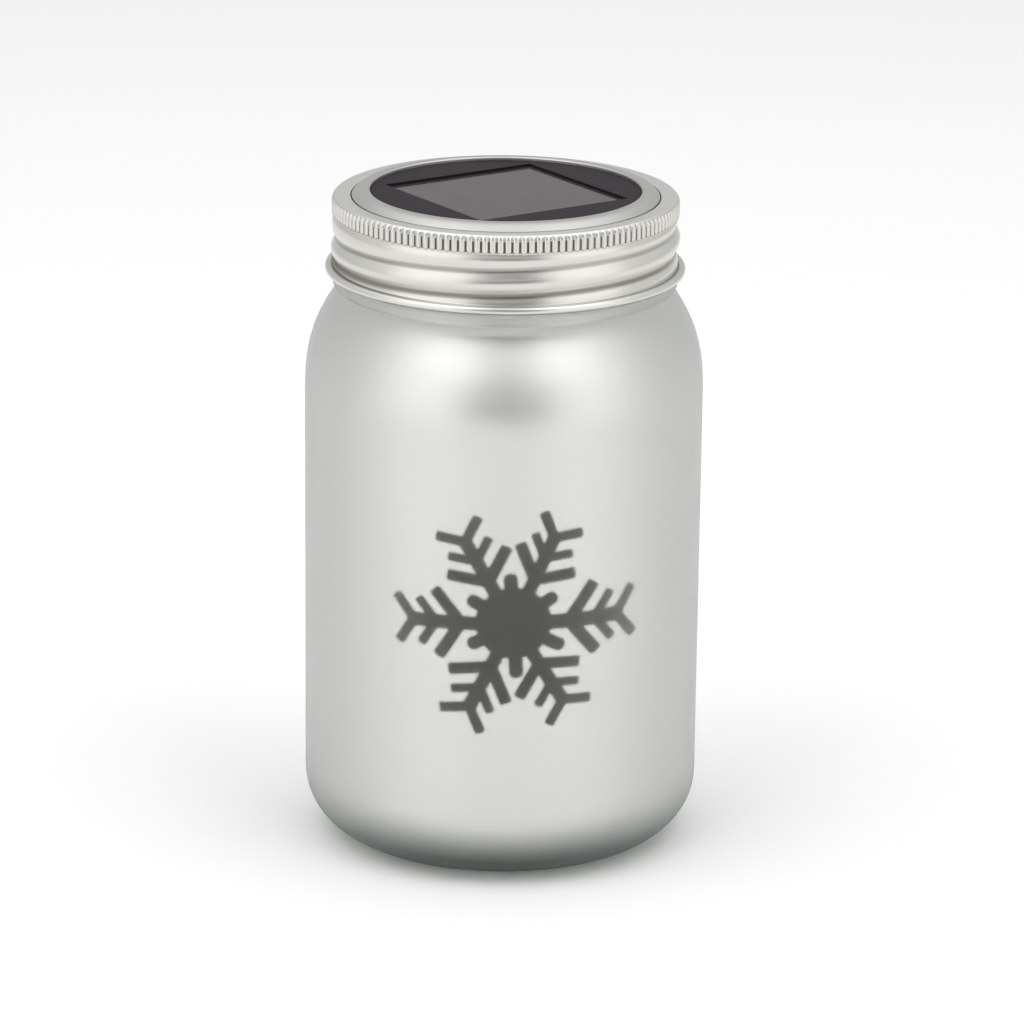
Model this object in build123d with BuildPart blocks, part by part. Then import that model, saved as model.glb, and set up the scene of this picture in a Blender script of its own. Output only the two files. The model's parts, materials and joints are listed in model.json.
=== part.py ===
# Solar mason jar lantern: a frosted, silver-lined glass jar with a snowflake window, closed by a
# knurled screw band that holds a solar light module in the jar's mouth.
#
# Frame: millimetres, +Z up, origin at the centre of the base on the table. The snowflake faces -Y.
# The screw band turns on the module and the module rises with it, so both follow the jar's thread.

from build123d import *
import os
from math import cos, hypot, radians, sin

# ---------------------------------------------------------------------------------------------
# Driving dimensions
# ---------------------------------------------------------------------------------------------

# Glass jar
BODY_R = 50.0  # outside radius of the straight body
WALL = 3.0  # glass thickness of the body
BASE_T = 4.5  # glass thickness of the base
HEEL_R = 15.6  # outside radius of the rounded heel
BEARING_W = 3.0  # width of the flat ring that the jar stands on
PUSH_UP = 1.6  # how far the base is domed up inside that ring
SHOULDER_Z = 117.0  # where the straight body ends
NECK_R = 41.7  # crease under the collar
NECK_Z = 142.5  # where the shoulder meets the neck
COLLAR_R = 43.0  # glass collar under the screw band
COLLAR_Z = (142.9, 145.8)
FINISH_R = 41.0  # threaded part of the neck, without its thread
MOUTH_R = 38.2  # inside radius of the mouth
MOUTH_Z = 139.0  # where the shoulder's inside meets the mouth
RIM_Z = 163.1  # top of the glass
GLASS_EDGE_R = 0.9  # rounding of the rim and the collar

# Thread, shared by the glass and the screw band
PITCH = 6.35
THREAD_Z180 = 152.25  # height of the thread's centre line on the -X side
THREAD_CREST_R = 42.35
THREAD_CREST_W = 1.4
THREAD_ROOT_W = 4.2
THREAD_TURNS = (30.0, 500.0)  # the glass thread's start and end angle, in degrees
BEAD_TURNS = (0.0, 540.0)  # the rolled bead of the screw band runs further at both ends

# Silver film on the inside of the glass
FILM_GAP = 0.1
FILM_T = 0.3
FILM_TOP_Z = 158.0

# Snowflake window, drawn on the unrolled inner wall: arc length and height
FLAKE_Z = 69.3
ARM_ANGLES = (0.2, 65.8, 120.0, 181.2, 244.2, 301.2)
ARM_REACH = (31.4, 28.0, 28.1, 29.3, 28.6, 28.1)
# how far the side branches lean from each arm: anticlockwise side, clockwise side
ARM_LEANS = ((55, 50), (45, 59), (52, 56), (57, 52), (48, 58), (57, 60))
KNOB_ANGLES = (34.0, 94.0, 150.4, 209.0, 273.5, 332.2)
KNOB_REACH = (12.6, 12.8, 12.7, 12.5, 14.2, 14.0)
KNOB_W = 3.4
KNOB_END_R = 1.5
HUB_R = 9.2
STEM_W = 3.6
STEM_END = 26.5
CORNER_R = 0.7  # rounding of the stencil's corners
# each pair of side branches: foot on the stem, length and width, on an arm of the nominal reach
NOMINAL_REACH = 29.2
BRANCHES = ((12.7, 10.6, 3.1), (18.9, 7.3, 2.4), (24.7, 7.6, 2.7))

# Screw band
SHEET_T = 0.4
KNURL_R = 43.25
SKIRT_R = 43.1  # the skirt is wide enough to pass over the glass thread
BEAD_R = 43.5  # crest of the rolled bead
BEAD_HALF = 2.5
BAND_HOLE_R = 38.6
BAND_TOP_Z = 165.7
CURL_R = 1.1  # outside radius of the curled hem
CURL_Z = 147.3
CURL_SWEEP = 250.0  # how far the hem curls round, in degrees
KNURL_COUNT = 142
KNURL_Z = (161.1, 165.4)
KNURL_CUT_R = 0.5
KNURL_DEPTH = 0.2

# Solar module
SEAL_Z = (163.25, 164.1)
FLANGE_R = 41.3
FLANGE_Z = (164.1, 165.1)
CUP_R = 37.4
CUP_T = 2.0
DECK_Z = (162.0, 163.6)
CUP_BOTTOM_Z = 143.0
COVER_T = 1.8
SPIGOT_H = 0.8
TRIM_R = (33.85, 38.3)
TRIM_TOP_Z = 167.2
BEZEL_R = 33.7
BEZEL_Z = (165.2, 166.4)
CELL_ANGLE = 30.2  # how far the square cell is turned from the X axis, in degrees
WINDOW = 43.4
PANEL = 45.0
WAFER = 42.0
WAFER_T = 0.2
RESIN = 43.0
RESIN_TOP_Z = 165.7
SCREW_AT = 32.6  # radius of the circle of the three cover screws
SCREW_COUNT = 3
BOSS_R = 3.0
SCREW_R = 1.0
SCREW_HEAD_R = 2.0
SCREW_HEAD_H = 1.2
PILOT_R = 1.1

# Electronics in the module
BOARD = (40.0, 26.0, 1.6)
BOARD_Y = -9.0
BOARD_Z = 148.0
BOARD_TOP_Z = BOARD_Z + BOARD[2]
BOARD_POSTS = ((-16.0, -17.0), (16.0, -17.0))
LED_R = 2.5
LED_TIP_Z = 139.0
LEG = 0.5
LED_LEG_X = 1.27
PARTS_Y = -8.0  # the chip and the inductor stand in one row across the board
CHIP_X = 8.0
INDUCTOR_X = -8.0
INDUCTOR_R = 1.6
INDUCTOR_L = 6.0
INDUCTOR_LEG = 3.6
SWITCH_Y = -16.0
SWITCH_BODY = (9.0, 4.6, 4.0)
SWITCH_CAVITY = (7.0, 3.6, 2.6)
KNOB = (3.0, 2.0)
KNOB_TIP_Z = 139.8
KNOB_PLATE = (4.6, 3.2, 2.0)
KNOB_TRAVEL = 2.0
KNOB_CLEARANCE = 0.2
BATTERY_R = 5.25
BATTERY_L = 43.5
BATTERY_NUB = (1.9, 1.0)  # radius and height of the positive terminal
BATTERY_Y = 14.5
BATTERY_Z = 149.8
HOLDER_IN = (50.2, 11.2)
HOLDER_T = 1.4
HOLDER_TOP_Z = 152.0
CONTACT_T = 0.4
CONTACT_TOP_Z = 153.6
SPRING_R = 3.1
SPRING_WIRE_R = 0.35
LEAD_R = 0.55
LEAD_BEND_R = 2.0

os.makedirs("parts", exist_ok=True)


def save(piece, name):
    """Labels a finished piece and writes it as parts/NAME.step."""
    piece.label = name
    export_step(piece, f"parts/{name}.step")


# ---------------------------------------------------------------------------------------------
# The thread's helix
# ---------------------------------------------------------------------------------------------


def thread_z(angle):
    """Height of the thread's centre line at an angle in degrees from +X, rising counter-clockwise."""
    return THREAD_Z180 + PITCH * (angle - 180.0) / 360.0


def thread_path(radius, turns):
    """A right-hand helix on the thread's centre line between two angles."""
    start, end = turns
    helix = Edge.make_helix(PITCH, thread_z(end) - thread_z(start), radius)
    return helix.rotate(Axis.Z, start).translate((0, 0, thread_z(start)))


def thread_plane(path, turns):
    """The plane across the helix at its start, with its X axis pointing away from the jar's axis."""
    start = radians(turns[0])
    return Plane(origin=path @ 0, x_dir=Vector(cos(start), sin(start), 0), z_dir=path % 0)


# ---------------------------------------------------------------------------------------------
# Glass jar: one moulded piece with a heel, shoulder, collar, finish and outside thread
# ---------------------------------------------------------------------------------------------


def cavity_line(gap):
    """Draws the inside wall, moved inwards by gap, from the axis at the base up to the mouth."""
    inner_r = BODY_R - WALL - gap
    mouth_r = MOUTH_R - gap
    heel = HEEL_R - WALL
    floor_z = BASE_T + gap
    Line((0, floor_z), (inner_r - heel, floor_z))
    RadiusArc((inner_r - heel, floor_z), (inner_r, floor_z + heel), -heel)
    Line((inner_r, floor_z + heel), (inner_r, SHOULDER_Z))
    Bezier(
        (inner_r, SHOULDER_Z),
        (inner_r, SHOULDER_Z + 11.5),
        (mouth_r + 3.6, MOUTH_Z - 5.8),
        (mouth_r, MOUTH_Z),
    )


with BuildPart() as glass_jar:
    with BuildSketch(Plane.XZ):
        with BuildLine():
            cavity_line(0)
            Polyline(
                (MOUTH_R, MOUTH_Z),
                (MOUTH_R, RIM_Z),
                (FINISH_R, RIM_Z),
                (FINISH_R, COLLAR_Z[1]),
                (COLLAR_R, COLLAR_Z[1]),
                (COLLAR_R, COLLAR_Z[0]),
                (NECK_R, COLLAR_Z[0]),
                (NECK_R, NECK_Z),
            )
            Bezier(
                (NECK_R, NECK_Z),
                (NECK_R + 4.4, NECK_Z - 6.4),
                (BODY_R, SHOULDER_Z + 13.0),
                (BODY_R, SHOULDER_Z),
            )
            Line((BODY_R, SHOULDER_Z), (BODY_R, HEEL_R))
            RadiusArc((BODY_R, HEEL_R), (BODY_R - HEEL_R, 0), HEEL_R)
            bearing_in = BODY_R - HEEL_R - BEARING_W
            Line((BODY_R - HEEL_R, 0), (bearing_in, 0))
            Bezier((bearing_in, 0), (bearing_in - 4, 0), (bearing_in - 8, PUSH_UP), (0, PUSH_UP))
            Line((0, PUSH_UP), (0, BASE_T))
        make_face()
    revolve(axis=Axis.Z)
    rim_edges = glass_jar.edges().filter_by(GeomType.CIRCLE).group_by(Axis.Z)[-1]
    collar_edges = glass_jar.edges().filter_by(GeomType.CIRCLE)
    collar_edges = collar_edges.filter_by(lambda edge: abs(edge.radius - COLLAR_R) < 0.01)
    fillet(rim_edges + collar_edges, GLASS_EDGE_R)
    glass_path = thread_path(FINISH_R, THREAD_TURNS)
    with BuildSketch(thread_plane(glass_path, THREAD_TURNS)) as thread_section:
        crest = THREAD_CREST_R - FINISH_R
        Polygon(
            (-0.3, -THREAD_ROOT_W / 2),
            (crest, -THREAD_CREST_W / 2),
            (crest, THREAD_CREST_W / 2),
            (-0.3, THREAD_ROOT_W / 2),
            align=None,
        )
        fillet(thread_section.vertices().group_by(Axis.X)[-1], 0.4)
    sweep(path=glass_path, is_frenet=True)
save(glass_jar.part, "glass_jar")

# ---------------------------------------------------------------------------------------------
# Silver coating: a film that lines the glass, left out where the snowflake window is
# ---------------------------------------------------------------------------------------------


def on_wall(arc, height):
    """Where a point of the unrolled snowflake lies on the inner wall, seen square on."""
    wall_r = BODY_R - WALL
    return (wall_r * sin(arc / wall_r), FLAKE_Z + height)


def arm_point(along, across, angle, scale):
    """A point given along and across one arm, as it lies on the inner wall."""
    turn = radians(angle)
    arc = scale * (along * cos(turn) - across * sin(turn))
    height = scale * (along * sin(turn) + across * cos(turn))
    return on_wall(arc, height)


def stencil_bar(start, end, width, angle, scale=1.0, corner_r=CORNER_R):
    """One straight bar of the snowflake with rounded corners, given along and across its arm."""
    along = end[0] - start[0]
    across = end[1] - start[1]
    length = hypot(along, across)
    side = (-across / length * width / 2, along / length * width / 2)
    corners = (
        (start[0] + side[0], start[1] + side[1]),
        (end[0] + side[0], end[1] + side[1]),
        (end[0] - side[0], end[1] - side[1]),
        (start[0] - side[0], start[1] - side[1]),
    )
    with BuildSketch() as bar:
        Polygon(*[arm_point(*corner, angle, scale) for corner in corners], align=None)
        fillet(bar.vertices(), corner_r)
    return bar.sketch


bars = []
for angle, knob_reach in zip(KNOB_ANGLES, KNOB_REACH):
    bars.append(stencil_bar((0, 0), (knob_reach, 0), KNOB_W, angle, corner_r=KNOB_END_R))
for angle, arm_reach, leans in zip(ARM_ANGLES, ARM_REACH, ARM_LEANS):
    scale = arm_reach / NOMINAL_REACH
    bars.append(stencil_bar((0, 0), (STEM_END, 0), STEM_W, angle, scale))
    for foot, length, width in BRANCHES:
        for side, lean in zip((1, -1), leans):
            tip = (foot + length * cos(radians(lean)), side * length * sin(radians(lean)))
            bars.append(stencil_bar((foot, 0), tip, width, angle, scale))

with BuildPart() as silver_coating:
    with BuildSketch(Plane.XZ):
        with BuildLine():
            outer_r = MOUTH_R - FILM_GAP
            inner_r = outer_r - FILM_T
            cavity_line(FILM_GAP)
            Polyline((outer_r, MOUTH_Z), (outer_r, FILM_TOP_Z), (inner_r, FILM_TOP_Z), (inner_r, MOUTH_Z))
            cavity_line(FILM_GAP + FILM_T)
            Line((0, BASE_T + FILM_GAP), (0, BASE_T + FILM_GAP + FILM_T))
        make_face()
    revolve(axis=Axis.Z)
    with BuildSketch(Plane.XZ):
        with Locations(on_wall(0, 0)):
            Circle(HUB_R)
        add(bars)
    extrude(amount=BODY_R, mode=Mode.SUBTRACT)
save(silver_coating.part, "silver_coating")

# ---------------------------------------------------------------------------------------------
# Screw band: rolled from sheet, with a flange, knurled grip, thread bead and curled hem
# ---------------------------------------------------------------------------------------------

with BuildPart() as screw_band:
    half_sheet = SHEET_T / 2
    curl_centre = SKIRT_R - SHEET_T + CURL_R
    with BuildSketch(Plane.XZ):
        with BuildLine():
            FilletPolyline(
                (BAND_HOLE_R, BAND_TOP_Z - half_sheet),
                (KNURL_R - half_sheet, BAND_TOP_Z - half_sheet),
                (KNURL_R - half_sheet, KNURL_Z[0] - 0.6),
                (SKIRT_R - half_sheet, KNURL_Z[0] - 1.2),
                (SKIRT_R - half_sheet, CURL_Z),
                radius=(1.0, 0.6, 0.6),
            )
            CenterArc((curl_centre, CURL_Z), CURL_R - half_sheet, 180, CURL_SWEEP)
        trace(line_width=SHEET_T)
    revolve(axis=Axis.Z)
    bead_path = thread_path(SKIRT_R, BEAD_TURNS)
    with BuildSketch(thread_plane(bead_path, BEAD_TURNS)):
        with BuildLine():
            bead_h = BEAD_R - SKIRT_R
            ThreePointArc((-half_sheet, -BEAD_HALF), (bead_h, 0), (-half_sheet, BEAD_HALF))
            Line((-half_sheet, BEAD_HALF), (-half_sheet, -BEAD_HALF))
        make_face()
    sweep(path=bead_path, is_frenet=True)
    flute_r = KNURL_R + KNURL_CUT_R - KNURL_DEPTH
    with BuildSketch(Plane.XY.offset(KNURL_Z[0])):
        with PolarLocations(flute_r, KNURL_COUNT):
            Circle(KNURL_CUT_R)
    extrude(amount=KNURL_Z[1] - KNURL_Z[0], mode=Mode.SUBTRACT)
save(screw_band.part, "screw_band")

# ---------------------------------------------------------------------------------------------
# Solar module: seal, housing, trim ring, bezel and solar panel
# ---------------------------------------------------------------------------------------------


def point_on(radius, angle):
    """A point at a radius and an angle in degrees round the jar's axis."""
    return (radius * cos(radians(angle)), radius * sin(radians(angle)))


screw_points = [point_on(SCREW_AT, 90 + 360 * step / SCREW_COUNT) for step in range(SCREW_COUNT)]
panel_lead_tops = [(-6.0, -12.0), (6.0, -12.0)]
panel_lead_feet = [(-6.5, -19.0), (6.5, -19.0)]

with BuildPart() as sealing_gasket:
    with BuildSketch(Plane.XY.offset(SEAL_Z[0])):
        Circle(FLANGE_R - 0.8)
        Circle(MOUTH_R + 0.1, mode=Mode.SUBTRACT)
    extrude(amount=SEAL_Z[1] - SEAL_Z[0])
    fillet(sealing_gasket.edges().group_by(Axis.Z)[0], 0.25)
save(sealing_gasket.part, "sealing_gasket")

with BuildPart() as module_housing:
    with BuildSketch(Plane.XZ):
        with BuildLine():
            Polyline(
                (0, DECK_Z[0]),
                (0, DECK_Z[1]),
                (TRIM_R[0] + 0.1, DECK_Z[1]),
                (TRIM_R[0] + 0.1, FLANGE_Z[1]),
                (FLANGE_R, FLANGE_Z[1]),
                (FLANGE_R, FLANGE_Z[0]),
                (CUP_R, FLANGE_Z[0]),
                (CUP_R, CUP_BOTTOM_Z),
                (CUP_R - CUP_T, CUP_BOTTOM_Z),
                (CUP_R - CUP_T, DECK_Z[0]),
                close=True,
            )
        make_face()
    revolve(axis=Axis.Z)
    with BuildSketch(Plane.XY.offset(DECK_Z[0])):
        with Locations(*screw_points):
            Circle(BOSS_R)
    extrude(amount=CUP_BOTTOM_Z + SPIGOT_H - DECK_Z[0])
    with BuildSketch(Plane.XY.offset(CUP_BOTTOM_Z + SPIGOT_H)):
        with Locations(*screw_points):
            Circle(PILOT_R)
    extrude(amount=10, mode=Mode.SUBTRACT)
    with BuildSketch(Plane.XY.offset(DECK_Z[0])):
        with Locations(*panel_lead_tops):
            Circle(LEAD_R + 0.4)
    extrude(amount=DECK_Z[1] - DECK_Z[0], mode=Mode.SUBTRACT)
save(module_housing.part, "module_housing")

with BuildPart() as trim_ring:
    with BuildSketch(Plane.XZ):
        with BuildLine():
            Polyline(
                (TRIM_R[0] + 0.3, TRIM_TOP_Z),
                (TRIM_R[0], TRIM_TOP_Z - 0.3),
                (TRIM_R[0], FLANGE_Z[1]),
                (TRIM_R[1], FLANGE_Z[1]),
                (TRIM_R[1], FLANGE_Z[1] + 0.5),
            )
            Bezier(
                (TRIM_R[1], FLANGE_Z[1] + 0.5),
                (TRIM_R[1] - 1.1, TRIM_TOP_Z - 0.6),
                (TRIM_R[1] - 1.5, TRIM_TOP_Z),
                (TRIM_R[1] - 2.9, TRIM_TOP_Z),
            )
            Line((TRIM_R[1] - 2.9, TRIM_TOP_Z), (TRIM_R[0] + 0.3, TRIM_TOP_Z))
        make_face()
    revolve(axis=Axis.Z)
save(trim_ring.part, "trim_ring")

with BuildPart() as panel_bezel:
    with BuildSketch(Plane.XY.offset(BEZEL_Z[0])):
        Circle(BEZEL_R)
        Rectangle(WINDOW, WINDOW, rotation=CELL_ANGLE, mode=Mode.SUBTRACT)
    extrude(amount=BEZEL_Z[1] - BEZEL_Z[0])
    fillet(panel_bezel.edges().group_by(Axis.Z)[-1], 0.15)
save(panel_bezel.part, "panel_bezel")

with BuildPart() as panel_board:
    with BuildSketch(Plane.XY.offset(DECK_Z[1])):
        Rectangle(PANEL, PANEL, rotation=CELL_ANGLE)
    extrude(amount=BEZEL_Z[0] - DECK_Z[1])
save(panel_board.part, "panel_board")

with BuildPart() as solar_wafer:
    with BuildSketch(Plane.XY.offset(BEZEL_Z[0])):
        Rectangle(WAFER, WAFER, rotation=CELL_ANGLE)
    extrude(amount=WAFER_T)
save(solar_wafer.part, "solar_wafer")

with BuildPart() as cell_resin:
    with BuildSketch(Plane.XY.offset(BEZEL_Z[0])):
        RectangleRounded(RESIN, RESIN, 0.6, rotation=CELL_ANGLE)
    extrude(amount=RESIN_TOP_Z - BEZEL_Z[0])
    with BuildSketch(Plane.XY.offset(BEZEL_Z[0])):
        Rectangle(WAFER, WAFER, rotation=CELL_ANGLE)
    extrude(amount=WAFER_T, mode=Mode.SUBTRACT)
save(cell_resin.part, "cell_resin")

# ---------------------------------------------------------------------------------------------
# Bottom cover with its screws
# ---------------------------------------------------------------------------------------------

with BuildPart() as bottom_cover:
    with BuildSketch(Plane.XY.offset(CUP_BOTTOM_Z)):
        Circle(CUP_R)
    extrude(amount=-COVER_T)
    fillet(bottom_cover.edges().group_by(Axis.Z)[0], 0.6)
    with BuildSketch(Plane.XY.offset(CUP_BOTTOM_Z)):
        Circle(CUP_R - CUP_T - 0.1)
        Circle(CUP_R - CUP_T - 0.9, mode=Mode.SUBTRACT)
    extrude(amount=SPIGOT_H)
    with BuildSketch(Plane.XY.offset(CUP_BOTTOM_Z)):
        with Locations(*BOARD_POSTS):
            Circle(2.2)
    extrude(amount=BOARD_Z - CUP_BOTTOM_Z)
    with BuildSketch(Plane.XY.offset(BOARD_Z)):
        with Locations(*BOARD_POSTS):
            Circle(PILOT_R)
    extrude(amount=-4, mode=Mode.SUBTRACT)
    with BuildSketch(Plane.XY.offset(CUP_BOTTOM_Z + SPIGOT_H)):
        Circle(LED_R + 0.1)
        with Locations(*screw_points):
            Circle(PILOT_R)
        with Locations((0, SWITCH_Y)):
            slot_w = KNOB[0] + KNOB_TRAVEL + 4 * KNOB_CLEARANCE
            Rectangle(slot_w, KNOB[1] + 3 * KNOB_CLEARANCE)
    extrude(amount=-COVER_T - SPIGOT_H, mode=Mode.SUBTRACT)
save(bottom_cover.part, "bottom_cover")


def pan_head_screw(shaft_h):
    """A cross-recessed pan-head screw with its shaft pointing up from the origin."""
    with BuildPart() as screw:
        Cylinder(SCREW_HEAD_R, SCREW_HEAD_H, align=(Align.CENTER, Align.CENTER, Align.MAX))
        Cylinder(SCREW_R, shaft_h, align=(Align.CENTER, Align.CENTER, Align.MIN))
        with BuildSketch(Plane.XY.offset(-SCREW_HEAD_H)):
            Rectangle(2.4, 0.5)
            Rectangle(0.5, 2.4)
        extrude(amount=0.7, mode=Mode.SUBTRACT)
        fillet(screw.edges().filter_by(GeomType.CIRCLE).group_by(Axis.Z)[0], 0.3)
    return screw.part


with BuildPart() as cover_screws:
    cover_screw = pan_head_screw(9.0)
    for x, y in screw_points:
        add(cover_screw.translate((x, y, CUP_BOTTOM_Z - COVER_T)))
save(cover_screws.part, "cover_screws")

with BuildPart() as board_screws:
    board_screw = pan_head_screw(4.6).rotate(Axis.X, 180)
    for x, y in BOARD_POSTS:
        add(board_screw.translate((x, y, BOARD_TOP_Z)))
save(board_screws.part, "board_screws")

# ---------------------------------------------------------------------------------------------
# Circuit board, lamp, driver, inductor and slide switch
# ---------------------------------------------------------------------------------------------

led_legs = [(-LED_LEG_X, 0), (LED_LEG_X, 0)]
switch_pins = [(x, SWITCH_Y) for x in (-2.5, 0.0, 2.5)]
chip_legs = [(CHIP_X + x, PARTS_Y) for x in (-1.5, -0.5, 0.5, 1.5)]
inductor_legs = [(INDUCTOR_X - INDUCTOR_LEG, PARTS_Y), (INDUCTOR_X + INDUCTOR_LEG, PARTS_Y)]

with BuildPart() as circuit_board:
    with BuildSketch(Plane.XY.offset(BOARD_Z)):
        with Locations((0, BOARD_Y)):
            RectangleRounded(BOARD[0], BOARD[1], 2.0)
        with Locations(*BOARD_POSTS):
            Circle(PILOT_R, mode=Mode.SUBTRACT)
        with Locations(*led_legs, *switch_pins, *chip_legs, *inductor_legs):
            Circle(0.42, mode=Mode.SUBTRACT)
    extrude(amount=BOARD[2])
save(circuit_board.part, "circuit_board")

with BuildPart() as led_lamp:
    with BuildSketch(Plane.XZ):
        with BuildLine():
            dome_z = LED_TIP_Z + LED_R
            RadiusArc((0, LED_TIP_Z), (LED_R, dome_z), -LED_R)
            Polyline(
                (LED_R, dome_z),
                (LED_R, CUP_BOTTOM_Z),
                (LED_R + 0.4, CUP_BOTTOM_Z),
                (LED_R + 0.4, CUP_BOTTOM_Z + 1.0),
                (0, CUP_BOTTOM_Z + 1.0),
                (0, LED_TIP_Z),
            )
        make_face()
    revolve(axis=Axis.Z)
    with BuildSketch(Plane.XY.offset(CUP_BOTTOM_Z + 1.0)):
        with Locations(*led_legs):
            Rectangle(LEG, LEG)
    extrude(amount=BOARD_TOP_Z + 0.6 - CUP_BOTTOM_Z - 1.0)
save(led_lamp.part, "led_lamp")

with BuildPart() as driver_chip:
    chip_z = BOARD_TOP_Z + 1.5
    with BuildSketch(Plane.XY.offset(chip_z)):
        with Locations((CHIP_X, PARTS_Y)):
            Rectangle(5.2, 1.6)
    extrude(amount=3.6)
    chamfer(driver_chip.edges().group_by(Axis.Z)[-1], 0.3)
    with BuildSketch(Plane.XY.offset(chip_z)):
        with Locations(*chip_legs):
            Rectangle(0.4, 0.4)
    extrude(amount=BOARD_Z - 0.8 - chip_z)
save(driver_chip.part, "driver_chip")

with BuildPart() as inductor:
    inductor_z = BOARD_TOP_Z + INDUCTOR_R + 0.3
    with BuildSketch(Plane.YZ.offset(INDUCTOR_X)):
        with Locations((PARTS_Y, inductor_z)):
            Circle(INDUCTOR_R)
    extrude(amount=INDUCTOR_L / 2, both=True)
    fillet(inductor.edges().filter_by(GeomType.CIRCLE), 0.6)
    with BuildSketch(Plane.YZ.offset(INDUCTOR_X)):
        with Locations((PARTS_Y, inductor_z)):
            Circle(LEG / 2)
    extrude(amount=INDUCTOR_LEG + LEG / 2, both=True)
    with BuildSketch(Plane.XY.offset(inductor_z)):
        with Locations(*inductor_legs):
            Circle(LEG / 2)
    extrude(amount=BOARD_Z - 0.8 - inductor_z)
save(inductor.part, "inductor")

with BuildPart() as switch_body:
    switch_z = BOARD_Z - SWITCH_BODY[2]
    cavity_z = switch_z + 1.0
    with BuildSketch(Plane.XY.offset(switch_z)):
        with Locations((0, SWITCH_Y)):
            Rectangle(SWITCH_BODY[0], SWITCH_BODY[1])
    extrude(amount=SWITCH_BODY[2])
    with BuildSketch(Plane.XY.offset(cavity_z)):
        with Locations((0, SWITCH_Y)):
            Rectangle(SWITCH_CAVITY[0], SWITCH_CAVITY[1])
    extrude(amount=SWITCH_CAVITY[2], mode=Mode.SUBTRACT)
    with BuildSketch(Plane.XY.offset(switch_z)):
        with Locations((0, SWITCH_Y)):
            slot_l = KNOB[0] + KNOB_TRAVEL + 2 * KNOB_CLEARANCE
            Rectangle(slot_l, KNOB[1] + 2 * KNOB_CLEARANCE)
    extrude(amount=1.0, mode=Mode.SUBTRACT)
    with BuildSketch(Plane.XY.offset(BOARD_Z)):
        with Locations(*switch_pins):
            Rectangle(LEG, LEG)
    extrude(amount=BOARD[2] + 0.6)
save(switch_body.part, "switch_body")

with BuildPart() as switch_slider:
    plate_z = cavity_z + KNOB_CLEARANCE
    with BuildSketch(Plane.XY.offset(plate_z)):
        with Locations((-KNOB_TRAVEL / 2, SWITCH_Y)):
            Rectangle(KNOB_PLATE[0], KNOB_PLATE[1])
    extrude(amount=KNOB_PLATE[2])
    with BuildSketch(Plane.XY.offset(plate_z)):
        with Locations((-KNOB_TRAVEL / 2, SWITCH_Y)):
            Rectangle(KNOB[0], KNOB[1])
    extrude(amount=KNOB_TIP_Z - plate_z)
    chamfer(switch_slider.edges().group_by(Axis.Z)[0], 0.2)
save(switch_slider.part, "switch_slider")

# ---------------------------------------------------------------------------------------------
# Battery, its holder and contacts, and the leads
# ---------------------------------------------------------------------------------------------

with BuildPart() as battery_holder:
    with BuildSketch(Plane.XY.offset(CUP_BOTTOM_Z)):
        with Locations((0, BATTERY_Y)):
            RectangleRounded(HOLDER_IN[0] + 2 * HOLDER_T, HOLDER_IN[1] + 2 * HOLDER_T, 0.8)
    extrude(amount=HOLDER_TOP_Z - CUP_BOTTOM_Z)
    with BuildSketch(Plane.XY.offset(BATTERY_Z - BATTERY_R - 0.2)):
        with Locations((0, BATTERY_Y)):
            Rectangle(HOLDER_IN[0], HOLDER_IN[1])
    extrude(amount=HOLDER_TOP_Z, mode=Mode.SUBTRACT)
    with BuildSketch(Plane.XZ.offset(-BATTERY_Y)):
        with Locations((0, HOLDER_TOP_Z)):
            SlotOverall(26.0, 8.0)
    extrude(amount=HOLDER_IN[1], both=True, mode=Mode.SUBTRACT)
save(battery_holder.part, "battery_holder")

holder_end = HOLDER_IN[0] / 2
contact_x = holder_end - CONTACT_T
battery_tip_x = contact_x
battery_end_x = battery_tip_x - BATTERY_NUB[1] - BATTERY_L

with BuildPart() as battery:
    with BuildSketch(Plane.YZ.offset(battery_end_x)):
        with Locations((BATTERY_Y, BATTERY_Z)):
            Circle(BATTERY_R)
    extrude(amount=BATTERY_L)
    fillet(battery.edges().filter_by(GeomType.CIRCLE), 0.5)
    with BuildSketch(Plane.YZ.offset(battery_end_x + BATTERY_L)):
        with Locations((BATTERY_Y, BATTERY_Z)):
            Circle(BATTERY_NUB[0])
    extrude(amount=BATTERY_NUB[1])
save(battery.part, "battery")


def contact_plate(x):
    """The flat plate of a battery contact, with the tab that its lead is soldered to."""
    plate_bottom = BATTERY_Z - BATTERY_R - 0.2
    with BuildPart() as plate:
        with BuildSketch(Plane.YZ.offset(x)):
            with Locations((BATTERY_Y, plate_bottom)):
                Rectangle(9.0, HOLDER_TOP_Z - plate_bottom, align=(Align.CENTER, Align.MIN))
                Rectangle(2.4, CONTACT_TOP_Z - plate_bottom, align=(Align.CENTER, Align.MIN))
        extrude(amount=CONTACT_T)
    return plate.part


with BuildPart() as contact_positive:
    add(contact_plate(contact_x))
save(contact_positive.part, "contact_positive")

with BuildPart() as contact_negative:
    spring_x = -contact_x
    spring_l = battery_end_x - SPRING_WIRE_R - 0.05 - spring_x
    spring_turns = 3.5
    add(contact_plate(-holder_end))
    spring_path = Edge.make_helix(spring_l / spring_turns, spring_l, SPRING_R)
    spring_path = spring_path.rotate(Axis.Y, 90).translate((spring_x, BATTERY_Y, BATTERY_Z))
    with BuildSketch(Plane(origin=spring_path @ 0, z_dir=spring_path % 0)):
        Circle(SPRING_WIRE_R)
    sweep(path=spring_path, is_frenet=True)
save(contact_negative.part, "contact_negative")


def lead(points):
    """An insulated lead of straight runs joined by tangent arcs."""
    with BuildPart() as wire:
        with BuildLine() as route:
            FilletPolyline(*points, radius=LEAD_BEND_R)
        with BuildSketch(Plane(origin=route.line @ 0, z_dir=route.line % 0)):
            Circle(LEAD_R)
        sweep(path=route.line)
    return wire.part


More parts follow.
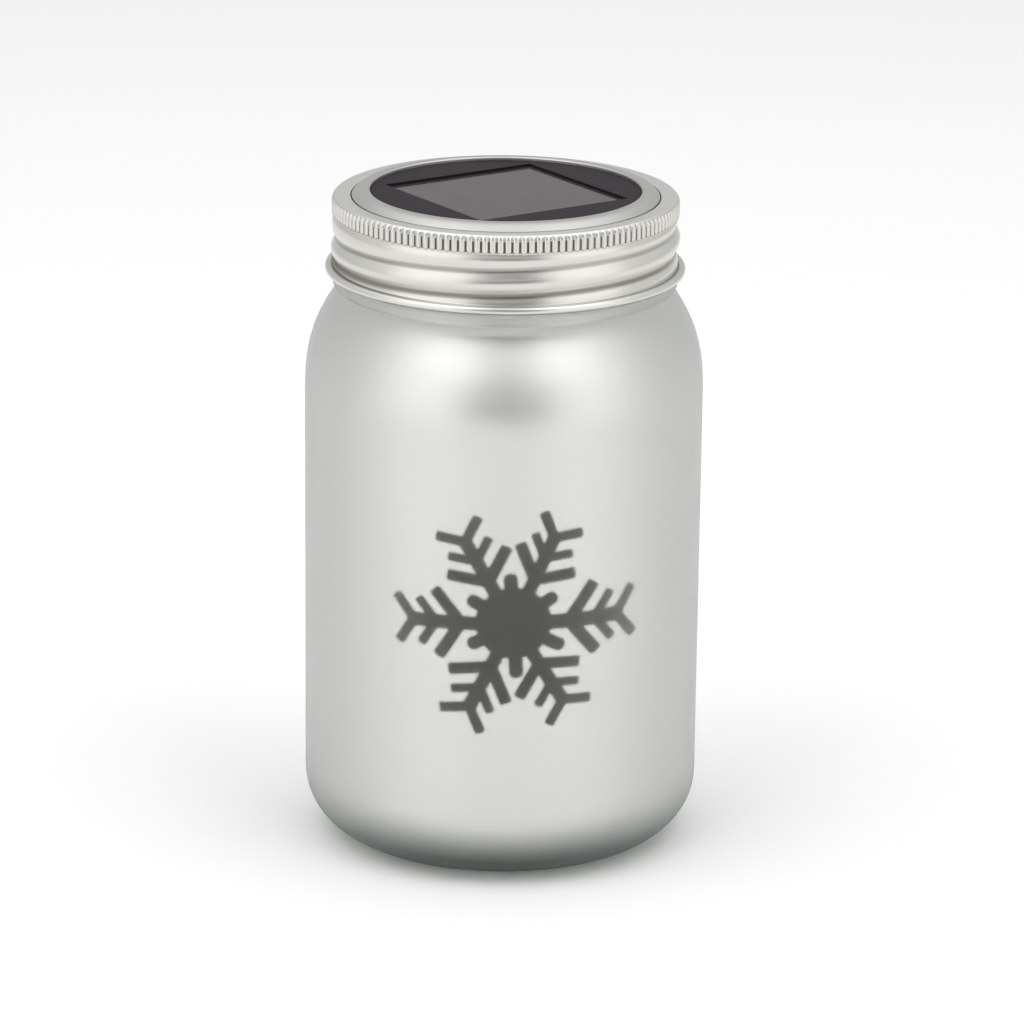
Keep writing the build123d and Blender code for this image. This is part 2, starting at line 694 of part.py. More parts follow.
for side, name in ((-1, "negative"), (1, "positive")):
    with BuildPart() as panel_lead:
        top = panel_lead_tops[0 if side < 0 else 1]
        foot = panel_lead_feet[0 if side < 0 else 1]
        add(lead([(*top, DECK_Z[1]), (*top, 158.6), (*foot, 154.6), (*foot, BOARD_TOP_Z)]))
    save(panel_lead.part, f"panel_lead_{name}")
    with BuildPart() as battery_lead:
        tab_x = side * (holder_end - CONTACT_T / 2)
        over_z = CONTACT_TOP_Z + 3.2
        add(
            lead(
                [
                    (tab_x, BATTERY_Y, CONTACT_TOP_Z),
                    (tab_x, BATTERY_Y, over_z),
                    (side * 22.0, 6.0, over_z),
                    (side * 18.0, 1.0, over_z - 1.6),
                    (side * 18.0, 1.0, BOARD_TOP_Z),
                ]
            )
        )
    save(battery_lead.part, f"battery_lead_{name}")
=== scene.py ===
"""Looks for the solar mason jar lantern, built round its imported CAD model, in metres.

The CAD nodes give every position. The rolled screw band is rebuilt here as a finer mesh, with its
rolled wave and its knurl, inside the size of the CAD band. Every other node keeps its CAD mesh and
gets a procedural material.
"""

import json
import math

import bpy
import numpy as np
from mathutils import Matrix, Vector


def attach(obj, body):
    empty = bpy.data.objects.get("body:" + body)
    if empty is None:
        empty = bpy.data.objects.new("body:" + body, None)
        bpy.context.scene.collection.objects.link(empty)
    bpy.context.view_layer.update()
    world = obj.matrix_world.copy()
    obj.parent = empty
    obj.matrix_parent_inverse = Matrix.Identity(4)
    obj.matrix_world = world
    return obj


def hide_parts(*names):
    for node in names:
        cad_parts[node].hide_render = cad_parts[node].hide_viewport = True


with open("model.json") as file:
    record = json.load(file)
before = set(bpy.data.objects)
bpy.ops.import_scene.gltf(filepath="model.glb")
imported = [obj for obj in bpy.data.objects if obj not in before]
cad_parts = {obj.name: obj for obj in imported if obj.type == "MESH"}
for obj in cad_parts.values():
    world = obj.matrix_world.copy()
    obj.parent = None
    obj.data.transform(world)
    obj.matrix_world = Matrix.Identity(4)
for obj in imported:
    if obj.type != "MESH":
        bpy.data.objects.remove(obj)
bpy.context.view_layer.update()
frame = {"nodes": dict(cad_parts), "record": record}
nodes = frame["nodes"]
MM = 0.001
CELL_TURN = math.radians(30.2)  # the solar cell's turn in its round bezel


# ---------------------------------------------------------------------------------------------
# Camera
# ---------------------------------------------------------------------------------------------

VIEW_AZIMUTH = math.radians(3.54)  # the camera stands a little to the left of the snowflake
VIEW_ELEVATION = math.radians(17.305)
VIEW_ROLL = math.radians(0.594)
VIEW_DISTANCE = 1.2407
AIM_HEIGHT = 0.0842
LENS_MM = 172.15
SHIFT = (0.0091, -0.0047)


def add_camera():
    data = bpy.data.cameras.new("camera")
    data.lens = LENS_MM
    data.sensor_width = 36.0
    data.shift_x, data.shift_y = SHIFT
    data.clip_start = 0.01
    data.clip_end = 50.0
    camera = bpy.data.objects.new("camera", data)
    bpy.context.scene.collection.objects.link(camera)
    aim = Vector((0, 0, AIM_HEIGHT))
    flat = math.cos(VIEW_ELEVATION) * VIEW_DISTANCE
    offset = Vector((-math.sin(VIEW_AZIMUTH) * flat, -math.cos(VIEW_AZIMUTH) * flat,
                     math.sin(VIEW_ELEVATION) * VIEW_DISTANCE))
    turn = (-offset).to_track_quat("-Z", "Y").to_matrix().to_4x4()
    roll = Matrix.Rotation(VIEW_ROLL, 4, "Z")
    camera.matrix_world = Matrix.Translation(aim + offset) @ turn @ roll
    bpy.context.scene.camera = camera


# ---------------------------------------------------------------------------------------------
# Floor, world and lights
# ---------------------------------------------------------------------------------------------


FLOOR_SIZE = 60.0  # so wide that its edge stays at the horizon in low views
FLOOR_DROP = 0.0001  # keeps the floor's face off the jar's foot


def add_floor():
    bpy.ops.mesh.primitive_plane_add(size=FLOOR_SIZE, location=(0, 0, -FLOOR_DROP))
    floor = bpy.context.object
    floor.name = "floor"
    mat, _, shader = new_material("floor_paper")
    shader.inputs["Base Color"].default_value = (0.92, 0.92, 0.92, 1)
    shader.inputs["Roughness"].default_value = 0.9
    shader.inputs["Specular IOR Level"].default_value = 0.1
    floor.data.materials.append(mat)


def add_softbox(name, at, aim, size, power, colour=(1, 1, 1)):
    """A rectangular area light that faces a point."""
    data = bpy.data.lights.new(name, "AREA")
    data.shape = "RECTANGLE"
    data.size, data.size_y = size
    data.energy = power
    data.color = colour
    light = bpy.data.objects.new(name, data)
    bpy.context.scene.collection.objects.link(light)
    turn = (Vector(aim) - Vector(at)).to_track_quat("-Z", "Y").to_matrix().to_4x4()
    light.matrix_world = Matrix.Translation(at) @ turn
    light.visible_camera = False


# How bright the light tent is at an angle in degrees round from its front, where it is open.
TENT = ((0.0, 0.10), (13.0, 0.14), (34.0, 0.84), (105.0, 0.84), (150.0, 0.64), (180.0, 0.60))
TENT_PEAK = 0.84
TENT_TINT = (0.985, 1.0, 0.99)

# Softboxes: sizes and distances in metres, powers in watts
LAMP_AIM = Vector((0, 0, 0.1))
SIDE_TURN = math.radians(52.0)  # round from the camera, to the left and to the right
SIDE_AWAY, SIDE_Z, SIDE_AIM_Z = 0.85, 0.80, 0.55
SIDE_SIZE = (1.0, 1.7)
SIDE_COLOUR = (1.0, 0.985, 0.965)
SIDES = (("softbox_left", -1, 3.0), ("softbox_right", 1, 2.8))
HIGH_RISE, HIGH_AWAY, HIGH_SIZE, HIGH_POWER = math.radians(60.0), 1.3, (0.9, 0.4), 0.8
FILL_RISE, FILL_AWAY, FILL_SIZE, FILL_POWER = math.radians(27.0), 1.9, (0.9, 0.5), 0.9
TOP_Y, TOP_Z, TOP_SIZE, TOP_POWER = 0.15, 1.5, (2.4, 2.4), 11.5


def add_tent():
    """A white light tent, open in front and dimmer behind, as the world."""
    world = bpy.data.worlds.new("light_tent")
    bpy.context.scene.world = world
    world.use_nodes = True
    tree = world.node_tree
    coords = node(tree, "ShaderNodeTexCoord")
    axes = node(tree, "ShaderNodeSeparateXYZ")
    tree.links.new(coords.outputs["Generated"], axes.inputs["Vector"])
    forward = arithmetic(tree, "MULTIPLY", axes.outputs["Y"], -1.0)
    turn = arithmetic(tree, "ABSOLUTE", arithmetic(tree, "ARCTAN2", axes.outputs["X"], forward))
    ramp = node(tree, "ShaderNodeValToRGB")
    ramp.color_ramp.interpolation = "EASE"
    stops = ramp.color_ramp.elements
    while len(stops) < len(TENT):
        stops.new(0.5)
    for stop, (angle, _) in zip(stops, TENT):
        stop.position = angle / 180.0
    for stop, (_, level) in zip(stops, TENT):
        stop.color = (*(level * tint / TENT_PEAK for tint in TENT_TINT), 1)
    tree.links.new(arithmetic(tree, "DIVIDE", turn, math.pi), ramp.inputs["Fac"])
    background = tree.nodes["Background"]
    background.inputs["Strength"].default_value = TENT_PEAK
    tree.links.new(ramp.outputs["Color"], background.inputs["Color"])


def way_to(turn, rise):
    """The direction at an angle round from the front and an angle up from the floor."""
    return Vector((math.sin(turn) * math.cos(rise), -math.cos(turn) * math.cos(rise),
                   math.sin(rise)))


def add_studio():
    """The tent, a tall and a small high softbox on each side, a weak front fill and a top light."""
    add_tent()
    for name, side, power in SIDES:
        turn = side * SIDE_TURN - VIEW_AZIMUTH
        at = SIDE_AWAY * way_to(turn, 0.0) + Vector((0, 0, SIDE_Z))
        add_softbox(name, at, (0, 0, SIDE_AIM_Z), SIDE_SIZE, power, SIDE_COLOUR)
        high = LAMP_AIM + HIGH_AWAY * way_to(turn, HIGH_RISE)
        add_softbox(name + "_high", high, LAMP_AIM, HIGH_SIZE, HIGH_POWER)
    front = Vector((-math.sin(VIEW_AZIMUTH) * math.cos(FILL_RISE), -math.cos(FILL_RISE),
                    math.sin(FILL_RISE)))
    add_softbox("softbox_fill", LAMP_AIM + FILL_AWAY * front, LAMP_AIM, FILL_SIZE, FILL_POWER)
    add_softbox("softbox_top", (0, TOP_Y, TOP_Z), (0, TOP_Y, 0), TOP_SIZE, TOP_POWER)
    bpy.context.scene.view_settings.view_transform = "Standard"


# ---------------------------------------------------------------------------------------------
# Material helpers
# ---------------------------------------------------------------------------------------------


def new_material(name):
    mat = bpy.data.materials.new(name)
    mat.use_nodes = True
    tree = mat.node_tree
    return mat, tree, tree.nodes["Principled BSDF"]


def node(tree, kind, **values):
    """Adds a node, with its settings by attribute name and its inputs by input name."""
    made = tree.nodes.new(kind)
    for key, value in values.items():
        if hasattr(made, key) and key not in made.inputs:
            setattr(made, key, value)
        else:
            made.inputs[key].default_value = value
    return made


def arithmetic(tree, operation, first, second=None):
    """A Math node's result, from sockets or plain numbers."""
    made = node(tree, "ShaderNodeMath", operation=operation)
    for socket, value in zip(made.inputs, (first, second)):
        if isinstance(value, bpy.types.NodeSocket):
            tree.links.new(value, socket)
        elif value is not None:
            socket.default_value = value
    return made.outputs["Value"]


NOISE_ROUGHNESS = 0.55


def noise(tree, scale, detail=3.0, stretch=(1, 1, 1)):
    """Noise of a scale in features per metre, over the object's own coordinates."""
    coords = node(tree, "ShaderNodeTexCoord")
    mapping = node(tree, "ShaderNodeMapping", Scale=stretch)
    made = node(tree, "ShaderNodeTexNoise", Scale=scale, Detail=detail, Roughness=NOISE_ROUGHNESS)
    tree.links.new(coords.outputs["Object"], mapping.inputs["Vector"])
    tree.links.new(mapping.outputs["Vector"], made.inputs["Vector"])
    return made.outputs["Fac"]


def spread(tree, value, low, high):
    """Maps a 0..1 value onto a range."""
    made = node(tree, "ShaderNodeMapRange")
    made.inputs["To Min"].default_value = low
    made.inputs["To Max"].default_value = high
    tree.links.new(value, made.inputs["Value"])
    return made.outputs["Result"]


def mix_colours(tree, factor, first, second):
    """Mixes two colours, each a socket or three numbers."""
    made = node(tree, "ShaderNodeMix", data_type="RGBA")
    colours = [socket for socket in made.inputs if socket.type == "RGBA"]
    for socket, value in zip(colours, (first, second)):
        if isinstance(value, bpy.types.NodeSocket):
            tree.links.new(value, socket)
        else:
            socket.default_value = (*value, 1)
    tree.links.new(factor, made.inputs["Factor"])
    return [out for out in made.outputs if out.type == "RGBA"][0]


def axis_distance(tree):
    """Distance from the jar's axis in metres."""
    coords = node(tree, "ShaderNodeTexCoord")
    flat = node(tree, "ShaderNodeMapping", Scale=(1, 1, 0))
    length = node(tree, "ShaderNodeVectorMath", operation="LENGTH")
    tree.links.new(coords.outputs["Object"], flat.inputs["Vector"])
    tree.links.new(flat.outputs["Vector"], length.inputs[0])
    return length.outputs["Value"]


def axis_height(tree):
    """Height in metres."""
    coords = node(tree, "ShaderNodeTexCoord")
    axes = node(tree, "ShaderNodeSeparateXYZ")
    tree.links.new(coords.outputs["Object"], axes.inputs["Vector"])
    return axes.outputs["Z"]


def step_down(tree, value, high, low):
    """Rises smoothly from 0 to 1 as a length goes down between two sizes in mm."""
    made = node(tree, "ShaderNodeMapRange", interpolation_type="SMOOTHSTEP")
    made.inputs["From Min"].default_value = high * MM
    made.inputs["From Max"].default_value = low * MM
    tree.links.new(value, made.inputs["Value"])
    return made.outputs["Result"]


def bump(tree, shader, height, distance, strength=1.0):
    made = node(tree, "ShaderNodeBump")
    made.inputs["Distance"].default_value = distance
    made.inputs["Strength"].default_value = strength
    tree.links.new(height, made.inputs["Height"])
    tree.links.new(made.outputs["Normal"], shader.inputs["Normal"])


def surface(name, colour, colour_2, rough, grain, depth, metallic=0.0, **inputs):
    """A material with mottled colour, varied roughness and a fine bump, all of the same grain."""
    mat, tree, shader = new_material(name)
    mottle = noise(tree, grain * 0.12, detail=2.0)
    fine = noise(tree, grain)
    tree.links.new(mix_colours(tree, mottle, colour, colour_2), shader.inputs["Base Color"])
    tree.links.new(spread(tree, fine, *rough), shader.inputs["Roughness"])
    bump(tree, shader, fine, depth)
    shader.inputs["Metallic"].default_value = metallic
    for key, value in inputs.items():
        shader.inputs[key.replace("_", " ")].default_value = value
    return mat


# ---------------------------------------------------------------------------------------------
# Materials
# ---------------------------------------------------------------------------------------------


HEEL_TINT_AND_SHADE_Z = (15.0, 1.0)  # heights in mm where the heel's green tint and painted shade begin and are full


def frosted_glass():
    """Etched glass: rough transmission, a fine etched grain, and a heel greener from its heavy
    glass and darker from painted shade.
    """
    mat, tree, shader = new_material("frosted_glass")
    grain = noise(tree, 2600)
    tint = mix_colours(tree, noise(tree, 40), (0.972, 0.982, 0.976), (0.988, 0.993, 0.990))
    # the heel's darker green-grey is partly the heavy glass's own tint and partly painted shade
    heel = step_down(tree, axis_height(tree), *HEEL_TINT_AND_SHADE_Z)
    heel_tint_and_shade = mix_colours(tree, heel, tint, (0.64, 0.69, 0.655))
    tree.links.new(heel_tint_and_shade, shader.inputs["Base Color"])
    tree.links.new(spread(tree, grain, 0.46, 0.54), shader.inputs["Roughness"])
    bump(tree, shader, grain, 0.00001, 0.4)
    shader.inputs["IOR"].default_value = 1.5
    shader.inputs["Transmission Weight"].default_value = 1.0
    return mat


def silver_film():
    """Silver coating: bright where it backs the glass, and on the side facing in a greyer, warmer
    colour that is painted shade for the jar's dim inside.
    """
    mat, tree, shader = new_material("silver_film")
    fine = noise(tree, 900)
    bright = mix_colours(tree, noise(tree, 108), (0.895, 0.885, 0.865), (0.925, 0.915, 0.895))
    coords = node(tree, "ShaderNodeTexCoord")
    outward = node(tree, "ShaderNodeVectorMath", operation="DOT_PRODUCT")
    tree.links.new(coords.outputs["Object"], outward.inputs[0])
    tree.links.new(coords.outputs["Normal"], outward.inputs[1])
    inner = arithmetic(tree, "LESS_THAN", outward.outputs["Value"], 0.0)
    # painted shade: the inner face is darkened so the jar's inside looks dim through the snowflake
    # window
    inner_face_shaded = mix_colours(tree, inner, bright, (0.55, 0.51, 0.45))
    tree.links.new(inner_face_shaded, shader.inputs["Base Color"])
    tree.links.new(spread(tree, fine, 0.16, 0.24), shader.inputs["Roughness"])
    bump(tree, shader, fine, 0.000004)
    shader.inputs["Metallic"].default_value = 1.0
    return mat


def lamp_epoxy():
    """Clear moulded epoxy with a faint moulded ripple."""
    mat, tree, shader = new_material("lamp_epoxy")
    ripple = noise(tree, 400)
    colour = (0.97, 0.965, 0.93)
    darker = [0.97 * value for value in colour]
    tree.links.new(mix_colours(tree, ripple, darker, colour), shader.inputs["Base Color"])
    tree.links.new(spread(tree, ripple, 0.02, 0.06), shader.inputs["Roughness"])
    bump(tree, shader, ripple, 0.000004, 0.4)
    shader.inputs["IOR"].default_value = 1.54
    shader.inputs["Transmission Weight"].default_value = 1.0
    return mat


# Where the tinplate has painted shade, and where its flange has painted light: each pair is a
# radius or a height in mm where the shade begins and is full.
GROOVE_SHADE_R = (43.05, 42.75)
GROOVE_Z = (161.3, 164.1)  # the lower and upper end of the knurl's grooves
VALLEY_SHADE_R = (42.70, 42.42)
VALLEY_SHADE_FADE_Z = (159.0, 153.0)  # a valley's painted shade is half as dark at the top of the wall
CREASE_SHADE_R = (43.50, 43.30)
CREASE_SHADE_Z = (148.42, 148.28)
HEM_SHADOW_Z = (147.1, 146.5)
# above this height the tinplate's colour is lighter: painted light on the band's flat top
FLANGE_Z = 165.5


def tinplate_painted_shade(tree, radius, height):
    """How much painted shade darkens the tinplate in its valleys and in the hem's crease, and the
    painted shadow under the hem.
    """
    under_knurl = arithmetic(tree, "LESS_THAN", height, RIB_FOOT_Z * MM)
    # painted shade in the valleys of the rolled wave
    valley = arithmetic(tree, "MULTIPLY", step_down(tree, radius, *VALLEY_SHADE_R), under_knurl)
    fade = spread(tree, step_down(tree, height, *VALLEY_SHADE_FADE_Z), 0.55, 1.0)
    valley = arithmetic(tree, "MULTIPLY", valley, fade)
    # painted shade in the hem's crease
    crease = arithmetic(tree, "MULTIPLY", step_down(tree, radius, *CREASE_SHADE_R),
                        step_down(tree, height, *CREASE_SHADE_Z))
    # painted shadow under the hem
    hem_shadow = arithmetic(tree, "MULTIPLY", step_down(tree, height, *HEM_SHADOW_Z), 0.7)
    return arithmetic(tree, "MAXIMUM", arithmetic(tree, "MAXIMUM", valley, crease), hem_shadow)


def tinplate():
    """Rolled tinplate: bright metal with fine marks drawn round the band, painted light on its flat
    top flange, and painted shade in the knurl's grooves, the valleys and under the hem.
    """
    mat, tree, shader = new_material("tinplate")
    radius = axis_distance(tree)
    height = axis_height(tree)
    in_knurl = arithmetic(tree, "MULTIPLY",
                          arithmetic(tree, "GREATER_THAN", height, GROOVE_Z[0] * MM),
                          arithmetic(tree, "LESS_THAN", height, GROOVE_Z[1] * MM))
    # painted shade in the knurl's grooves
    groove_shade = arithmetic(tree, "MULTIPLY", step_down(tree, radius, *GROOVE_SHADE_R), in_knurl)
    on_flange = arithmetic(tree, "GREATER_THAN", height, FLANGE_Z * MM)
    marks = noise(tree, 1500, stretch=(0.3, 0.3, 3.0))
    wall = mix_colours(tree, noise(tree, 90), (0.65, 0.635, 0.605), (0.69, 0.68, 0.65))
    # the lighter flange colour is painted light on the top face
    bright = mix_colours(tree, on_flange, wall, (0.78, 0.765, 0.745))
    # painted shade in the valleys and the crease, and painted shadow under the hem
    recess_shade = tinplate_painted_shade(tree, radius, height)
    recess_shaded = mix_colours(tree, recess_shade, bright, (0.25, 0.225, 0.195))
    groove_shaded = mix_colours(tree, groove_shade, recess_shaded, (0.15, 0.14, 0.13))
    tree.links.new(groove_shaded, shader.inputs["Base Color"])
    tree.links.new(spread(tree, marks, 0.26, 0.36), shader.inputs["Roughness"])
    bump(tree, shader, marks, 0.000003)
    shader.inputs["Metallic"].default_value = 1.0
    return mat


def silicon(name, dark, light, rough, ior):
    """Dark silicon with its crystal mottling and faint collector lines."""
    mat, tree, shader = new_material(name)
    coords = node(tree, "ShaderNodeTexCoord")
    turned = node(tree, "ShaderNodeMapping", Rotation=(0, 0, -CELL_TURN))
    lines = node(tree, "ShaderNodeTexWave", bands_direction="X", Scale=140.0, Distortion=0.0)
    tree.links.new(coords.outputs["Object"], turned.inputs["Vector"])
    tree.links.new(turned.outputs["Vector"], lines.inputs["Vector"])
    # only the crest of each wave, so the lines are thin
    thin = node(tree, "ShaderNodeMapRange")
    thin.inputs["From Min"].default_value = 0.985
    thin.inputs["From Max"].default_value = 1.0
    thin.inputs["To Max"].default_value = 0.35
    tree.links.new(lines.outputs["Fac"], thin.inputs["Value"])
    crystals = node(tree, "ShaderNodeTexVoronoi", Scale=260.0)
    tree.links.new(coords.outputs["Object"], crystals.inputs["Vector"])
    grey = mix_colours(tree, crystals.outputs["Distance"], dark, light)
    lined = mix_colours(tree, thin.outputs["Result"], grey, (0.20, 0.19, 0.19))
    tree.links.new(lined, shader.inputs["Base Color"])
    tree.links.new(spread(tree, crystals.outputs["Distance"], *rough), shader.inputs["Roughness"])
    bump(tree, shader, lines.outputs["Fac"], 0.000002)
    shader.inputs["IOR"].default_value = ior
    return mat


SLEEVE_EDGE_X = 0.0098  # where the sleeve's green gives way to its pale band


def battery_sleeve():
    """A printed plastic sleeve: a pale band at one end and darker green along the rest."""
    mat, tree, shader = new_material("battery_sleeve")
    coords = node(tree, "ShaderNodeTexCoord")
    axes = node(tree, "ShaderNodeSeparateXYZ")
    tree.links.new(coords.outputs["Object"], axes.inputs["Vector"])
    edge = node(tree, "ShaderNodeMapRange")
    edge.inputs["From Min"].default_value = SLEEVE_EDGE_X
    edge.inputs["From Max"].default_value = SLEEVE_EDGE_X + 0.0002
    tree.links.new(axes.outputs["X"], edge.inputs["Value"])
    green = mix_colours(tree, noise(tree, 200), (0.03, 0.16, 0.07), (0.04, 0.19, 0.085))
    banded = mix_colours(tree, edge.outputs["Result"], green, (0.72, 0.73, 0.70))
    tree.links.new(banded, shader.inputs["Base Color"])
    grain = noise(tree, 900)
    tree.links.new(spread(tree, grain, 0.28, 0.38), shader.inputs["Roughness"])
    bump(tree, shader, grain, 0.000006)
    return mat


# Each other slot: two colours, a roughness range, noise features per metre, bump depth in metres
# and metallic.
SURFACES = {
    "trim_metal": ((0.49, 0.49, 0.475), (0.53, 0.53, 0.515), (0.42, 0.52), 1300, 0.000003, 1.0),
    "seal_rubber": ((0.55, 0.54, 0.50), (0.62, 0.61, 0.57), (0.55, 0.75), 1400, 0.000012, 0.0),
    "housing_plastic": ((0.020, 0.020, 0.022), (0.028, 0.028, 0.030), (0.42, 0.58),
                        2600, 0.000015, 0.0),
    "bezel_plastic": ((0.019, 0.013, 0.017), (0.025, 0.018, 0.023), (0.24, 0.34),
                      1200, 0.000002, 0.0),
    "panel_laminate": ((0.025, 0.085, 0.035), (0.035, 0.110, 0.045), (0.22, 0.34),
                       1600, 0.000008, 0.0),
    "chip_plastic": ((0.014, 0.014, 0.015), (0.024, 0.024, 0.025), (0.45, 0.60),
                     3200, 0.000008, 0.0),
    "inductor_lacquer": ((0.10, 0.22, 0.09), (0.13, 0.27, 0.11), (0.18, 0.30), 1500, 0.000008, 0.0),
    "screw_steel": ((0.55, 0.55, 0.54), (0.66, 0.66, 0.65), (0.24, 0.40), 2200, 0.000005, 1.0),
    "switch_steel": ((0.60, 0.60, 0.59), (0.70, 0.70, 0.69), (0.22, 0.36), 2200, 0.000004, 1.0),
    "knob_plastic": ((0.016, 0.016, 0.017), (0.026, 0.026, 0.027), (0.38, 0.52),
                     2600, 0.000012, 0.0),
    "holder_plastic": ((0.028, 0.028, 0.030), (0.040, 0.040, 0.042), (0.45, 0.60),
                       2400, 0.000015, 0.0),
    "contact_nickel": ((0.66, 0.62, 0.55), (0.74, 0.70, 0.63), (0.18, 0.30), 1800, 0.000004, 1.0),
    "red_lead": ((0.42, 0.022, 0.018), (0.50, 0.032, 0.024), (0.34, 0.46), 1800, 0.000010, 0.0),
    "black_lead": ((0.018, 0.018, 0.019), (0.030, 0.030, 0.031), (0.34, 0.46), 1800, 0.000010, 0.0),
}


def slot_material(slot):
    """The finish of one of the record's material slots."""
    if slot == "frosted_glass":
        return frosted_glass()
    if slot == "silver_film":
        return silver_film()
    if slot == "clear_resin":
        # the resin is too thin to see; its face shows the silicon under a gloss
        return silicon(slot, (0.041, 0.026, 0.030), (0.056, 0.037, 0.042), (0.08, 0.14), 1.3)
    if slot == "lamp_epoxy":
        return lamp_epoxy()
    if slot == "silicon":
        return silicon(slot, (0.11, 0.08, 0.085), (0.13, 0.10, 0.105), (0.30, 0.42), 1.5)
    if slot == "battery_sleeve":
        return battery_sleeve()
    if slot == "bezel_plastic":
        return surface(slot, *SURFACES[slot][:5], Specular_IOR_Level=0.015)
    return surface(slot, *SURFACES[slot])


# ---------------------------------------------------------------------------------------------
# Screw band
# ---------------------------------------------------------------------------------------------

PITCH = 6.35
THREAD_Z180 = 152.25
FLUTES = 142
COLUMNS_IN_FLUTE = (0.0, 0.09, 0.17, 0.5, 0.83, 0.91)
SHEET = 0.4
WALL_R = 43.0
VALLEY_DROP = 0.6
CREST_RISE = 1.1  # above the valleys
CREST_HALF = 3.17
VALLEY_END = 5.6
THREAD_FADES = ((0.0, 55.0), (505.0, 560.0))  # angles over which the wave grows and dies away
KNURL_BLEND_Z = (159.6, 161.0)  # the wave runs out into the floor of the knurl
RIB_FLOOR_R = 42.6
RIB_RISE = 0.65
RIB_HALF = 0.74
RIB_FOOT_Z = 161.1
SHOULDER_R, SHOULDER_Z, SHOULDER_ROUND = 41.95, 164.4, 1.3
CURL_R, CURL_Z, CURL_ROLL = 43.9, 147.35, 1.05


def smoothstep(low, high, value):
    t = np.clip((value - low) / (high - low), 0.0, 1.0)
    return t * t * (3 - 2 * t)


def thread_z(angle):
    """Height in mm of the thread's centre line at an angle in degrees."""
    return THREAD_Z180 + PITCH * (angle - 180.0) / 360.0


def wall_radius(angle, z):
    """Outside radius in mm of the rolled wall, without its ribs, at an angle in degrees 0..360."""
    crest, valley = 0.0, 0.0
    for turn in (angle, angle + 360.0):
        grown, gone = (smoothstep(*fade_angles, turn) for fade_angles in THREAD_FADES)
        fade = grown * (1 - gone)
        away = np.abs(z - thread_z(turn))
        wave = 0.5 + 0.5 * np.cos(math.pi * np.clip(away / CREST_HALF, 0.0, 1.0))
        crest = crest + fade * wave ** 0.8
        valley = np.maximum(valley, fade * (1 - smoothstep(CREST_HALF - 0.2, VALLEY_END, away)))
    radius = WALL_R - VALLEY_DROP * valley + CREST_RISE * crest
    return radius + smoothstep(*KNURL_BLEND_Z, z) * (RIB_FLOOR_R - radius)


def rib_height(share, z):
    """How far in mm a rib stands out, at a share 0..1 of one flute's width."""
    across = np.abs(share - 0.5) * 2 * math.pi * RIB_FLOOR_R / FLUTES
    foot = np.clip(RIB_FOOT_Z + RIB_HALF - z, 0.0, None)
    reach = np.hypot(across, foot) - RIB_HALF
    crown = 0.1 * (across / RIB_HALF) ** 2
    return np.clip(RIB_RISE * smoothstep(0.12, -0.2, reach) - crown * (reach < 0), 0.0, None)


def arc(centre_r, centre_z, radius, start, end, steps):
    """Points of an arc, by angles in degrees from straight out, upwards positive."""
    turns = np.radians(np.linspace(start, end, steps))
    return np.stack((centre_r + radius * np.cos(turns), centre_z + radius * np.sin(turns)), axis=1)


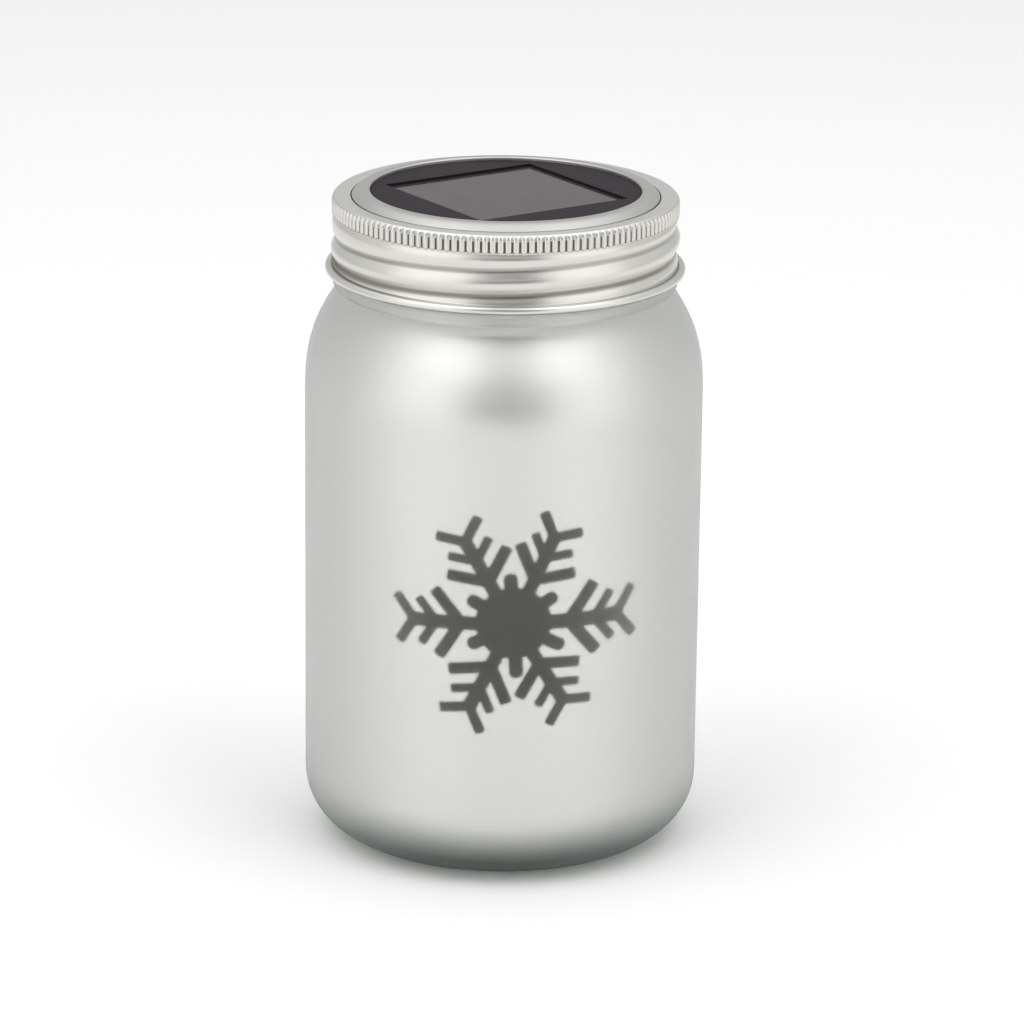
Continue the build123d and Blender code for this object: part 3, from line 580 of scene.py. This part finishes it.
def band_section(angle, share):
    """The band's closed section as (radius, z) rows in mm, at one angle."""
    flange = np.array(((38.60, 165.28), (38.60, 165.45), (38.68, 165.55), (39.2, 165.58),
                       (40.2, 165.62), (41.2, 165.67)))
    # rounded shoulder, which meets the ribs' tops
    shoulder = arc(SHOULDER_R, SHOULDER_Z, SHOULDER_ROUND, 90, 0, 8)
    sunk = (RIB_RISE - rib_height(share, shoulder[:, 1])) * smoothstep(165.4, 164.9, shoulder[:, 1])
    shoulder[:, 0] -= sunk
    # knurl, rolled wall and thread bead
    z = np.concatenate((np.arange(163.9, 162.4, -0.7), np.arange(162.1, 160.7, -0.14),
                        np.arange(160.5, 148.3, -0.44)))
    wall = np.stack((wall_radius(angle, z) + rib_height(share, z), z), axis=1)
    # curled hem: its crease, the inside of the roll, its free edge, and back round its outside
    foot_r = wall_radius(angle, 148.4)
    crease = np.array(((foot_r + 0.02, 148.12),))
    inner_roll = CURL_ROLL - SHEET
    hem = np.concatenate((crease, arc(CURL_R, CURL_Z, CURL_ROLL, 130, -130, 14),
                          arc(CURL_R, CURL_Z, inner_roll, -130, 150, 8)))
    # inside of the wall, up to the underside of the flange
    z = np.arange(148.6, 164.0, 1.1)
    inside = np.stack((wall_radius(angle, z) - SHEET, z), axis=1)
    under = arc(SHOULDER_R - 0.3, SHOULDER_Z, 0.8, 0, 90, 4)
    return np.concatenate((flange, shoulder, wall, hem, inside, under, np.array(((40.2, 165.24),))))


def ring_mesh(name, sections, angles):
    """Joins closed sections round the axis into one solid ring."""
    columns, rows = len(sections), len(sections[0])
    verts = []
    for angle, section in zip(angles, sections):
        cos_a, sin_a = math.cos(math.radians(angle)), math.sin(math.radians(angle))
        verts.extend((r * MM * cos_a, r * MM * sin_a, z * MM) for r, z in section)
    faces = []
    for column in range(columns):
        after = (column + 1) % columns
        for row in range(rows):
            below = (row + 1) % rows
            faces.append((column * rows + row, column * rows + below,
                          after * rows + below, after * rows + row))
    mesh = bpy.data.meshes.new(name)
    mesh.from_pydata(verts, [], faces)
    mesh.validate()
    mesh.polygons.foreach_set("use_smooth", [True] * len(mesh.polygons))
    made = bpy.data.objects.new(name, mesh)
    bpy.context.scene.collection.objects.link(made)
    return made


def add_band():
    angles, sections = [], []
    for flute in range(FLUTES):
        for share in COLUMNS_IN_FLUTE:
            angle = 360.0 * (flute + share) / FLUTES
            angles.append(angle)
            sections.append(band_section(angle, share))
    band = ring_mesh("rolled_band", sections, angles)
    band.data.materials.append(tinplate())
    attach(band, "band")
    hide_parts("screw_band")


# ---------------------------------------------------------------------------------------------
# CAD nodes that keep their meshes
# ---------------------------------------------------------------------------------------------


def dress_cad_nodes():
    """Gives every CAD node the finish of its slot in the record."""
    made = {}
    for subpart in frame["record"]["subparts"]:
        if subpart["node"] == "screw_band":
            continue
        slot = subpart["material_slot"]
        if slot not in made:
            made[slot] = slot_material(slot)
        piece = nodes[subpart["node"]]
        if not piece.data.materials:
            piece.data.materials.append(made[slot])
        for place in piece.material_slots:
            place.link = "OBJECT"
            place.material = made[slot]


# ---------------------------------------------------------------------------------------------
# The scene
# ---------------------------------------------------------------------------------------------

add_camera()
add_studio()
add_floor()
add_band()
dress_cad_nodes()
